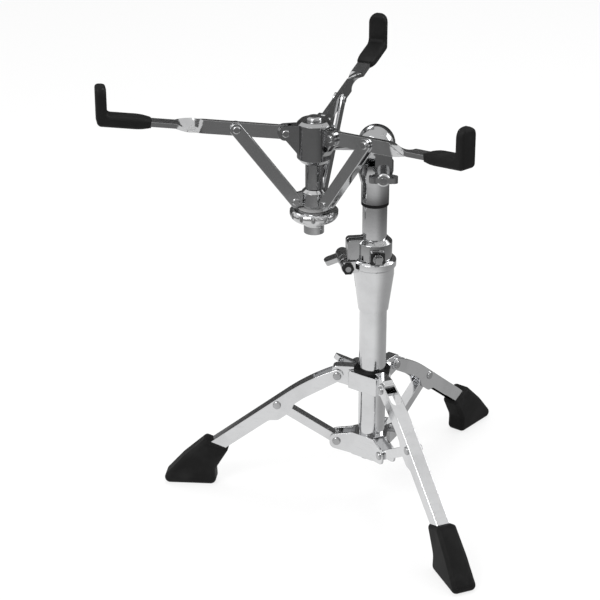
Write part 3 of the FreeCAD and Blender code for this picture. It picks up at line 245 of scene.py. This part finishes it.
moulded = {  # colour, scuffed colour and grain of the rubber and nylon pieces
    "footRubber": {"colour": 0.006, "scuff": 0.016, "bump": 0.25},
    "gripRubber": {"colour": 0.008, "scuff": 0.020, "bump": 0.22},
    "blackNylon": {"colour": 0.005, "scuff": 0.014, "bump": 0.12},
    "paleNylon": {"colour": 0.34, "scuff": 0.26, "bump": 0.12},
}
mouldedSkin = {"bumpDepth": 0.25, "specular": 0.12}


def mouldedRubber(name):
    look = moulded[name]
    material, shader = skinnedMaterial(name, rubberSkin, {
        "Colour": greyColour(look["colour"]), "Scuff": greyColour(look["scuff"])},
        look["bump"], mouldedSkin["bumpDepth"] * mm)
    shader.inputs["Specular IOR Level"].default_value = mouldedSkin["specular"]
    return material


finishes = {name: platedMetal(name) for name in plated}
finishes.update({name: mouldedRubber(name) for name in moulded})
print("finishes made:", len(finishes))


# pieces

meshing = {  # weld distance, and in degrees: flat enough to join, hard enough to ease, still smooth
    "weld": 0.002, "flatAngle": 0.5, "hardAngle": 32, "easedSmooth": 50, "drawnSmooth": 40,
    "easeSteps": 2, "roundProfile": 0.5}


def newPiece(name, mesh, body, finish):
    piece = bpy.data.objects.new(name, mesh)
    bpy.context.scene.collection.objects.link(piece)
    piece.data.materials.append(finishes[finish])
    piece.modifiers.new("flatFaces", "WEIGHTED_NORMAL").keep_sharp = True  # flats reflect flat beside a bevel
    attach(piece, body)
    return piece


def finishPiece(name, mesh, node, finish):
    # a finished mesh becomes the visible piece of its CAD node
    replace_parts(newPiece(name, mesh, bodyOf[node], finish), node)


def meshFrom(bm, name, smoothAngle=None):
    if smoothAngle:
        for face in bm.faces:
            face.smooth = True
        for edge in bm.edges:
            edge.smooth = len(edge.link_faces) == 2 and edge.calc_face_angle(0) < math.radians(smoothAngle)
    mesh = bpy.data.meshes.new(name)
    bm.to_mesh(mesh)
    bm.free()
    return mesh


def joinedCopy(node):
    # the node's own form with its loose triangles joined into faces
    bm = bmesh.new()
    bm.from_mesh(nodes[node].data)
    bmesh.ops.remove_doubles(bm, verts=bm.verts, dist=meshing["weld"] * mm)
    flatAngle = math.radians(meshing["flatAngle"])
    bmesh.ops.dissolve_limit(bm, angle_limit=flatAngle, verts=bm.verts, edges=bm.edges)
    return bm


def rounded(bm, geom, width, steps, affect, clamp):
    bmesh.ops.bevel(bm, geom=geom, offset=width * mm, offset_type="OFFSET", segments=steps,
                    profile=meshing["roundProfile"], affect=affect, clamp_overlap=clamp, material=-1)


def easedCopy(node, ease):
    bm = joinedCopy(node)
    if ease:
        hardAngle = math.radians(meshing["hardAngle"])
        shared = [edge for edge in bm.edges if len(edge.link_faces) == 2]
        hard = [edge for edge in shared if edge.calc_face_angle(0) > hardAngle]
        rounded(bm, hard, ease, meshing["easeSteps"], "EDGES", False)
    return meshFrom(bm, node + "_eased", meshing["easedSmooth"])


def drawnMesh(bm, name):
    bmesh.ops.remove_doubles(bm, verts=bm.verts, dist=meshing["weld"] * mm)
    bmesh.ops.recalc_face_normals(bm, faces=bm.faces)
    return meshFrom(bm, name, meshing["drawnSmooth"])


def nodeAxis(node):
    low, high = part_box(node)
    return (low + high) / 2, (high.x - low.x) / 2, low.z, high.z


def outlineVerts(bm, middle, outline):
    return [bm.verts.new((middle.x + radius, middle.y, height)) for radius, height in outline]


def closedRing(bm, middle, outline):
    ring = outlineVerts(bm, middle, outline)
    for first, second in zip(ring, ring[1:] + ring[:1]):
        bm.edges.new((first, second))
    return ring


def fullTurn(bm, middle, steps):
    bmesh.ops.spin(bm, geom=bm.verts[:] + bm.edges[:], cent=(middle.x, middle.y, 0), axis=(0, 0, 1),
                   dvec=(0, 0, 0), angle=math.tau, steps=steps, use_merge=True, use_duplicate=False)


tubes = {  # wall, rolled lip and finish of the two drawn tubes
    "base_tube": {"wall": 1.2, "lip": 0.5, "finish": "chromePaintedLit"},
    "riser_tube": {"wall": 1.4, "lip": 0.5, "finish": "riserChrome"},
}
tubeSteps = {"lip": 3, "turn": 128}


def drawnTube(node, wall, lip, finish):
    middle, radius, low, high = nodeAxis(node)
    bore = radius - wall * mm
    bm = bmesh.new()
    ring = closedRing(bm, middle, [(bore, low), (radius, low), (radius, high), (bore, high)])
    rounded(bm, ring, lip, tubeSteps["lip"], "VERTICES", True)
    fullTurn(bm, middle, tubeSteps["turn"])
    finishPiece(node + "_drawn", drawnMesh(bm, node), node, finish)


thread = {
    "pitch": 4.0, "depth": 1.3, "crestShare": 0.3, "flankShare": 0.2, "steps": 48, "spareTurns": 2,
    "shankEase": 0.8, "weld": 0.005, "cutSlack": 0.0001}


def edgesOf(parts):
    return [part for part in parts if isinstance(part, bmesh.types.BMEdge)]


def threadedSpindle():
    # trapezoidal thread up to the slider's top, under a smooth shank: one pitch of its outline is screwed up
    # the axis, cut square at both ends and bridged to the shank
    middle, radius, low, high = nodeAxis("spindle")
    pitch = thread["pitch"] * mm
    root = radius - thread["depth"] * mm
    flank = thread["flankShare"] * pitch
    crest = thread["crestShare"] * pitch
    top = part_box("slider")[1].z
    turns = math.ceil((top - low) / pitch) + thread["spareTurns"]
    start = low - pitch
    bm = bmesh.new()
    outline = [(root, 0), (radius, flank), (radius, flank + crest), (root, 2 * flank + crest), (root, pitch)]
    spots = outlineVerts(bm, middle, [(away, start + rise) for away, rise in outline])
    for first, second in zip(spots, spots[1:]):
        bm.edges.new((first, second))
    bmesh.ops.spin(bm, geom=bm.verts[:] + bm.edges[:], cent=(middle.x, middle.y, 0), axis=(0, 0, 1),
                   dvec=(0, 0, pitch / thread["steps"]), angle=math.tau * turns,
                   steps=thread["steps"] * turns, use_merge=False, use_duplicate=False)
    bmesh.ops.remove_doubles(bm, verts=bm.verts, dist=thread["weld"] * mm)
    rims = []
    for height, up in ((low, -1), (top, 1)):
        cut = bmesh.ops.bisect_plane(bm, geom=bm.verts[:] + bm.edges[:] + bm.faces[:],
                                     dist=thread["cutSlack"] * mm, plane_co=(0, 0, height),
                                     plane_no=(0, 0, up), clear_outer=True)
        rims.append(edgesOf(cut["geom_cut"]))
    bmesh.ops.edgeloop_fill(bm, edges=rims[0])
    foot = top + thread["shankEase"] * mm
    ring = bmesh.ops.create_circle(bm, cap_ends=False, segments=thread["steps"], radius=radius,
                                   matrix=Matrix.Translation((middle.x, middle.y, foot)))
    footVerts = set(ring["verts"])
    footEdges = [edge for edge in bm.edges if edge.verts[0] in footVerts and edge.verts[1] in footVerts]
    shank = bmesh.ops.extrude_edge_only(bm, edges=footEdges)["geom"]
    headVerts = [part for part in shank if isinstance(part, bmesh.types.BMVert)]
    bmesh.ops.translate(bm, vec=(0, 0, high - foot), verts=headVerts)
    headEdges = [edge for edge in edgesOf(shank) if edge.verts[0] in headVerts and edge.verts[1] in headVerts]
    bmesh.ops.edgeloop_fill(bm, edges=headEdges)
    bmesh.ops.bridge_loops(bm, edges=rims[1] + footEdges)
    finishPiece("spindle_threaded", drawnMesh(bm, "spindle"), "spindle", "pinSteel")


grip = {  # arm's slope, sleeve's width, rounded tip and tapered inner end
    "slope": 8.0, "width": 20.0, "tipLoops": 7, "tipFloor": 0.04, "endLoops": 5, "taper": 15.0,
    "endShares": (0.86, 0.64), "cutSlack": 0.001}


def armFrame(name):
    # origin at the arm's pivot, X out along the strip and Z square to it
    joint = jointNamed("arm_%s_swing" % name)
    up = Vector((0, 0, 1))
    out = up.cross(Vector(joint["axis"]))
    slope = math.radians(grip["slope"])
    along = out * math.cos(slope) + up * math.sin(slope)
    square = up * math.cos(slope) - out * math.sin(slope)
    turn = Matrix((along, square.cross(along), square)).transposed().to_4x4()
    return Matrix.Translation(joint["pos_m"]) @ turn


def sliceAt(bm, axis, place):
    # a loop of edges across the piece, for a curve that the CAD form leaves plain
    spot = [0, 0, 0]
    way = [0, 0, 0]
    spot[axis] = place
    way[axis] = 1
    bmesh.ops.bisect_plane(bm, geom=bm.verts[:] + bm.edges[:] + bm.faces[:], dist=grip["cutSlack"] * mm,
                           plane_co=spot, plane_no=way)


def softGrip(name):
    node = "grip_" + name
    toArm = armFrame(name)
    bm = joinedCopy(node)
    bmesh.ops.transform(bm, matrix=toArm.inverted(), verts=bm.verts)
    half = grip["width"] * mm / 2
    tipStart = max(vert.co.z for vert in bm.verts) - half
    end = min(vert.co.x for vert in bm.verts)
    taper = grip["taper"] * mm
    for loop in range(grip["tipLoops"]):
        sliceAt(bm, 2, tipStart + half * math.sin(math.pi / 2 * loop / grip["tipLoops"]))
    for loop in range(1, grip["endLoops"] + 1):
        sliceAt(bm, 0, end + taper * (loop / grip["endLoops"]) ** 2)
    for vert in bm.verts:
        rise = max(0, vert.co.z - tipStart) / half
        vert.co.y *= math.sqrt(max(grip["tipFloor"], 1 - rise * rise))
        swell = math.sin(math.pi / 2 * min(1, (vert.co.x - end) / taper))
        for axis, share in zip((1, 2), grip["endShares"]):
            vert.co[axis] *= share + (1 - share) * swell
    bmesh.ops.transform(bm, matrix=toArm, verts=bm.verts)
    finishPiece(node + "_soft", drawnMesh(bm, node), node, "gripRubber")


channel = {  # size of the bends, and how their edges are told from the channel's other edges
    "bend": 0.8, "bendSteps": 4, "slack": 0.1, "squareTo": 0.1, "backRise": 0.2, "finish": "chromePaintedLit"}


def pressedLeg(name):
    # the bends along the back of the pressed channel are rounder than the edges of its sheet
    node = "leg_" + name
    across = Vector(jointNamed(node + "_fold")["axis"])
    bm = joinedCopy(node)
    outside = max(abs(vert.co.dot(across)) for vert in bm.verts) - channel["slack"] * mm
    bends = []
    for edge in bm.edges:
        normals = [face.normal for face in edge.link_faces]
        rises = [normal.z for normal in normals if abs(normal.dot(across)) < channel["squareTo"]]
        if len(rises) == 1 and rises[0] > channel["backRise"]:
            if min(abs(vert.co.dot(across)) for vert in edge.verts) > outside:
                bends.append(edge)
    rounded(bm, bends, channel["bend"], channel["bendSteps"], "EDGES", False)
    mesh = meshFrom(bm, node + "_eased", meshing["easedSmooth"])
    finishPiece(node + "_finished", mesh, node, channel["finish"])


for armName in armNames:
    softGrip(armName)
for legName in legNames:
    pressedLeg(legName)
for node, look in tubes.items():
    drawnTube(node, **look)
threadedSpindle()
print("grips, legs, tubes and spindle made")

easedPieces = {  # finish of each CAD form that stays, and how far its hard edges are eased before faces cross
    "tube_end_plug": ("blackNylon", 0.4),
    "lower_collar": ("chromePaintedLit", 0.25),
    "lower_collar_rivets": ("pinSteel", 0.0),
    "height_clamp": ("chromePaintedLit", 0.25),
    "clamp_bush": ("blackNylon", 0.3),
    "clamp_wing_bolt": ("pinSteel", 0.0),
    # the clamp nut is painted near black for the shade it sits in
    "clamp_nut": ("blackSteelAndPaintedShade", 0.4),
    "upper_collar": ("chromePaintedLit", 0.4),
    "collar_bush": ("blackNylon", 0.3),
    "collar_wing_bolt": ("chromePaintedLit", 0.0),
    "riser_guide": ("blackNylon", 0.3),
    "memory_lock": ("shadedChrome", 0.4),
    "memory_lock_key_bolt": ("pinSteel", 0.1),
    "tilter_base": ("shadedChrome", 0.0),
    "tilter_jaw": ("shadedChrome", 0.0),
    "tilter_bolt": ("pinSteel", 0.3),
    "tilter_wing_nut": ("chromePaintedDim", 0.0),
    "ball_stem": ("shadedChrome", 0.14),
    "basket_hub": ("shadedChrome", 0.05),
    "stem_set_screw": ("blackSteelAndPaintedShade", 0.2),
    "hub_cap_nut": ("pinSteel", 0.2),
    "arm_pivot_pins": ("pinSteel", 0.0),
    "brace_lower_pins": ("pinSteel", 0.0),
    "slider": ("chromePaintedDim", 0.1),
    "thrust_washer": ("paleNylon", 0.2),
    "adjusting_knob": ("chromePaintedDim", 0.0),
}
for legName in legNames:
    easedPieces["leg_rivets_" + legName] = ("pinSteel", 0.0)
    easedPieces["strut_" + legName] = ("chromePaintedLit", 0.4)
    easedPieces["foot_" + legName] = ("footRubber", 0.0)
for armName in armNames:
    easedPieces["arm_" + armName] = ("chromePaintedDim", 0.2)
    easedPieces["brace_" + armName] = ("chromePaintedDim", 0.4)
    easedPieces["brace_pin_" + armName] = ("pinSteel", 0.0)

for node, (finish, ease) in easedPieces.items():
    finishPiece(node + "_finished", easedCopy(node, ease), node, finish)
print("eased pieces:", len(easedPieces))

# painted dark reflection on the flat of the memory lock's boss
lockBoss = {"node": "memory_lock", "finish": "blackSteelAndPaintedShade", "depth": 1.2}


def paintBossReflection():
    # the flat of the memory lock's boss, round the key bolt, is painted near black as a painted dark reflection
    out = Vector(jointNamed("key_bolt_turn")["axis"])
    mesh = bpy.data.objects[lockBoss["node"] + "_finished"].data
    mesh.materials.append(finishes[lockBoss["finish"]])
    front = max(vert.co.dot(out) for vert in mesh.vertices)
    for face in mesh.polygons:
        if face.center.dot(out) > front - lockBoss["depth"] * mm:
            face.material_index = 1


sealRing = {
    "name": "sleeve_seal", "body": "riser", "slot": "nylon", "finish": "blackNylon",
    "inner": 12.72, "outer": 14.2, "height": 3.6, "ease": 0.5, "easeSteps": 3, "turnSteps": 96}


def sleeveSeal():
    # the dark ring between the tilter's sleeve and the riser
    middle = nodeAxis("riser_tube")[0]
    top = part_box("tilter_base")[0].z
    inner, outer, height = (sealRing[size] * mm for size in ("inner", "outer", "height"))
    low = top - height
    bm = bmesh.new()
    ring = closedRing(bm, middle, [(inner, low), (outer, low), (outer, top), (inner, top)])
    rounded(bm, ring[1:2], sealRing["ease"], sealRing["easeSteps"], "VERTICES", True)  # lower outer corner
    fullTurn(bm, middle, sealRing["turnSteps"])
    mesh = drawnMesh(bm, sealRing["name"])
    newPiece(sealRing["name"], mesh, sealRing["body"], sealRing["finish"])


paintBossReflection()
sleeveSeal()
print("boss and seal made")


# stage and light

stage = {"floorHalf": 8.0, "floorWhite": 0.92, "floorRoughness": 0.9, "whiteShare": 0.78, "ambient": 0.55}


def backgroundRays(tree):
    # camera, glossy and transmission rays all meet the white background
    path = addNode(tree, "ShaderNodeLightPath")
    sight = combine(tree, "MAXIMUM", path.outputs["Is Camera Ray"], path.outputs["Is Glossy Ray"])
    return combine(tree, "MAXIMUM", sight, path.outputs["Is Transmission Ray"])


def flatSheet(name, material, matrix, width, height):
    bm = bmesh.new()
    bmesh.ops.create_grid(bm, x_segments=1, y_segments=1, size=0.5)  # one metre square
    bmesh.ops.scale(bm, vec=(width, height, 1), verts=bm.verts)
    bmesh.ops.transform(bm, matrix=matrix, verts=bm.verts)
    sheet = bpy.data.objects.new(name, meshFrom(bm, name))
    bpy.context.scene.collection.objects.link(sheet)
    sheet.data.materials.append(material)
    return sheet


def makeFloor():
    material, tree, shader = newMaterial("paleFloor")
    shader.inputs["Base Color"].default_value = greyColour(stage["floorWhite"])
    shader.inputs["Roughness"].default_value = stage["floorRoughness"]
    glow = addNode(tree, "ShaderNodeEmission", {"Color": white, "Strength": 1.0})
    share = combine(tree, "MULTIPLY", backgroundRays(tree), stage["whiteShare"])
    mixShaders(tree, share, shader, glow, "Material Output")
    side = 2 * stage["floorHalf"]
    floor = flatSheet("floor", material, Matrix(), side, side)


def makeWorld():
    world = bpy.data.worlds.new("studio")
    world.use_nodes = True
    tree = world.node_tree
    ambient = tree.nodes["Background"]
    ambient.inputs["Color"].default_value = white
    ambient.inputs["Strength"].default_value = stage["ambient"]
    backdrop = addNode(tree, "ShaderNodeBackground", {"Color": white, "Strength": 1.0})
    mixShaders(tree, backgroundRays(tree), ambient, backdrop, "World Output")
    bpy.context.scene.world = world


aim = Vector((-0.03, 0, 0.24))
lamps = {  # place, width and power of each softbox, and whether the chrome mirrors it
    "keySoftbox": {"spot": (-1.3, -1.6, 2.1), "width": 1.2, "power": 42.0, "mirrored": True},
    "fillSoftbox": {"spot": (2.1, 0.5, 1.3), "width": 1.0, "power": 16.0, "mirrored": True},
    "topSoftbox": {"spot": (0.1, 0.8, 2.4), "width": 1.4, "power": 26.0, "mirrored": False},
}


def pointedAt(spot, target):
    return (target - spot).to_track_quat("-Z", "Y").to_euler()


def makeLamps():
    for name, lamp in lamps.items():
        light = bpy.data.lights.new(name, "AREA")
        light.size = lamp["width"]
        light.energy = lamp["power"]
        softbox = bpy.data.objects.new(name, light)
        softbox.location = lamp["spot"]
        softbox.rotation_euler = pointedAt(Vector(lamp["spot"]), aim)
        softbox.visible_glossy = lamp["mirrored"]
        bpy.context.scene.collection.objects.link(softbox)


litFloor = {  # the lit floor that the chrome mirrors: bright near the stand, darker far off and to the right
    "reach": (0.56, 0.88), "reachLevels": (1.0, 0.22), "sideWay": (0.94, 0.34, 0), "sideSpan": (-0.35, 0.95),
    "sideLevels": (1.0, 0.46), "half": 3.0, "lift": 0.002}
mirrorCards = {  # place, facing, width, height and level of the other cards that the chrome mirrors
    "backCard": {"spot": (0, 1.7, 1.02), "facing": (0, 0, 1.02), "size": (4.6, 2.0), "level": 0.08},
    "sideCard": {"spot": (1.5, -0.75, 1.75), "facing": (0, 0, 0.2), "size": (1.5, 1.5), "level": 0.80},
    "frontCard": {"spot": (0, -2.6, 1.6), "facing": (0, 0, 0.35), "size": (3.4, 1.3), "level": 0.20},
}


def reflectionCard(name, material, matrix, width, height):
    # a studio card that only mirror reflections see, so it blocks no light
    card = flatSheet(name, material, matrix, width, height)
    for ray in ("visible_camera", "visible_diffuse", "visible_shadow", "visible_transmission"):
        setattr(card, ray, False)


def litFloorMaterial():
    material, tree, shader = newMaterial("litFloor")
    tree.nodes.remove(shader)
    place = addNode(tree, "ShaderNodeTexCoord")
    reach = addNode(tree, "ShaderNodeVectorMath", operation="LENGTH")
    way = addNode(tree, "ShaderNodeVectorMath", operation="NORMALIZE")
    aside = addNode(tree, "ShaderNodeVectorMath", {1: litFloor["sideWay"]}, operation="DOT_PRODUCT")
    tree.links.new(place.outputs["Object"], reach.inputs[0])
    tree.links.new(place.outputs["Object"], way.inputs[0])
    tree.links.new(way.outputs[0], aside.inputs[0])
    fall = spread(tree, reach.outputs["Value"], litFloor["reach"], litFloor["reachLevels"],
                  interpolation_type="SMOOTHSTEP")
    turn = spread(tree, aside.outputs["Value"], litFloor["sideSpan"], litFloor["sideLevels"],
                  interpolation_type="SMOOTHSTEP")
    glow = addNode(tree, "ShaderNodeEmission", {"Color": white})
    tree.links.new(combine(tree, "MULTIPLY", fall, turn), glow.inputs["Strength"])
    tree.links.new(glow.outputs[0], tree.nodes["Material Output"].inputs["Surface"])
    return material


def cardMaterial(name, level):
    material, _, shader = newMaterial(name)
    shader.inputs["Base Color"].default_value = greyColour(level)
    shader.inputs["Roughness"].default_value = 1.0
    shader.inputs["Specular IOR Level"].default_value = 0.0
    return material


def makeCards():
    side = 2 * litFloor["half"]
    lift = Matrix.Translation((0, 0, litFloor["lift"]))
    reflectionCard("litFloorCard", litFloorMaterial(), lift, side, side)
    for name, card in mirrorCards.items():
        spot = Vector(card["spot"])
        matrix = Matrix.Translation(spot) @ pointedAt(spot, Vector(card["facing"])).to_matrix().to_4x4()
        reflectionCard(name, cardMaterial(name, card["level"]), matrix, *card["size"])


shot = {"spot": (0, -1.900, 1.098), "lens": 120.6, "sensor": 36.0, "pitch": 24.65, "turn": 2.3}


def makeCamera():
    camera = bpy.data.cameras.new("photoView")
    camera.lens = shot["lens"]
    camera.sensor_width = shot["sensor"]
    view = bpy.data.objects.new("photoView", camera)
    view.location = shot["spot"]
    view.rotation_euler = (math.radians(90 - shot["pitch"]), 0, math.radians(shot["turn"]))
    bpy.context.scene.collection.objects.link(view)
    bpy.context.scene.camera = view


makeFloor()
makeWorld()
makeLamps()
makeCards()
makeCamera()
bpy.context.scene.view_settings.view_transform = "Standard"
print("stage, light and camera set")
